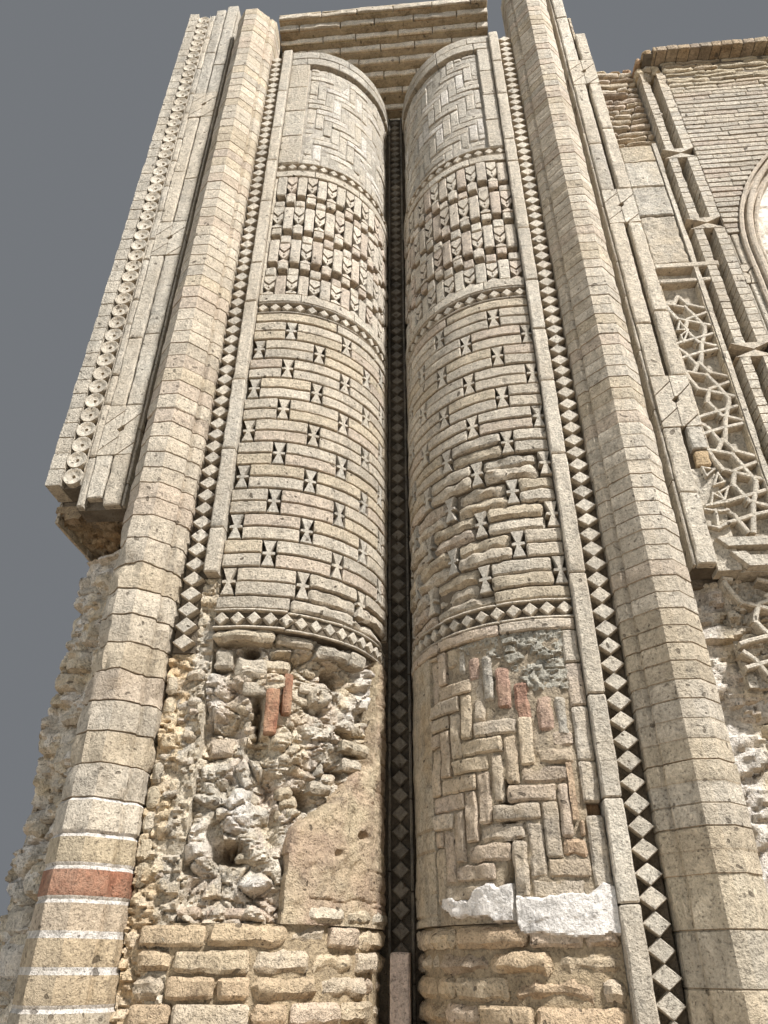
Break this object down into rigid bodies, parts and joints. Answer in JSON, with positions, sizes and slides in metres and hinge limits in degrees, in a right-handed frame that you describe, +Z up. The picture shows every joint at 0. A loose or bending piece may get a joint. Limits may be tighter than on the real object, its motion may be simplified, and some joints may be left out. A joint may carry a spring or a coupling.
{
  "type": "mosque portal pier",
  "caption": "Tall brick portal pier with twin engaged quarter columns, octagonal roll mouldings, interlace strips, a lattice panel wing and a corbelled head.",
  "frame": {"origin": "on the ground, under the groove between the two columns, in the middle of the wall mass", "axes": "+Z up; +X along the facade to the right as seen from the front; +Y into the wall, so the facade faces -Y"},
  "size_m": [3.435, 1.06, 7.0178],
  "materials": {
    "moulding_stone": "matt, weathered pale stone-coloured brick and plaster",
    "facing_brick": "matt fired brick in lime mortar",
    "weathered_brick": "rough weathered brick",
    "rubble_masonry": "rough broken brick and mortar",
    "lattice_plaster": "matt carved plaster and brick in shade"
  },
  "bodies": {
    "root": {"left_fillet": "moulding_stone", "right_fillet": "moulding_stone", "left_diamond_strip": "moulding_stone", "right_diamond_strip": "moulding_stone", "left_octagonal_roll": "moulding_stone", "right_octagonal_roll": "moulding_stone", "left_interlace_strip": "moulding_stone", "right_interlace_strip": "moulding_stone", "left_disc_chain_strip": "moulding_stone", "right_plain_blocks": "moulding_stone", "lattice_frame": "moulding_stone", "triple_bar_moulding": "moulding_stone", "arch_ring": "moulding_stone", "groove_foot_post": "moulding_stone", "left_shaft_lower_ring": "moulding_stone", "left_shaft_middle_ring": "moulding_stone", "left_shaft_upper_ring": "moulding_stone", "right_shaft_lower_ring": "moulding_stone", "right_shaft_middle_ring": "moulding_stone", "right_shaft_upper_ring": "moulding_stone", "left_shaft_paired_panel": "facing_brick", "right_shaft_paired_panel": "facing_brick", "left_shaft_checker_panel": "facing_brick", "right_shaft_checker_panel": "facing_brick", "left_shaft_woven_panel": "facing_brick", "right_shaft_woven_panel": "facing_brick", "right_shaft_lower_panel": "facing_brick", "left_shaft_remnant": "facing_brick", "left_edge_courses": "facing_brick", "right_brick_wall": "facing_brick", "niche_infill": "facing_brick", "left_shaft_base": "weathered_brick", "right_shaft_base": "weathered_brick", "corbel_stack": "weathered_brick", "right_coping": "weathered_brick", "left_shaft_lost_face": "rubble_masonry", "left_rubble_core": "rubble_masonry", "right_rubble_core": "rubble_masonry", "left_lost_edging": "rubble_masonry", "right_broken_courses": "rubble_masonry", "masonry_core": "rubble_masonry", "upper_lattice_panel": "lattice_plaster", "lower_lattice_panel": "lattice_plaster", "groove_diamond_strip": "lattice_plaster"}
  },
  "joints": []
}
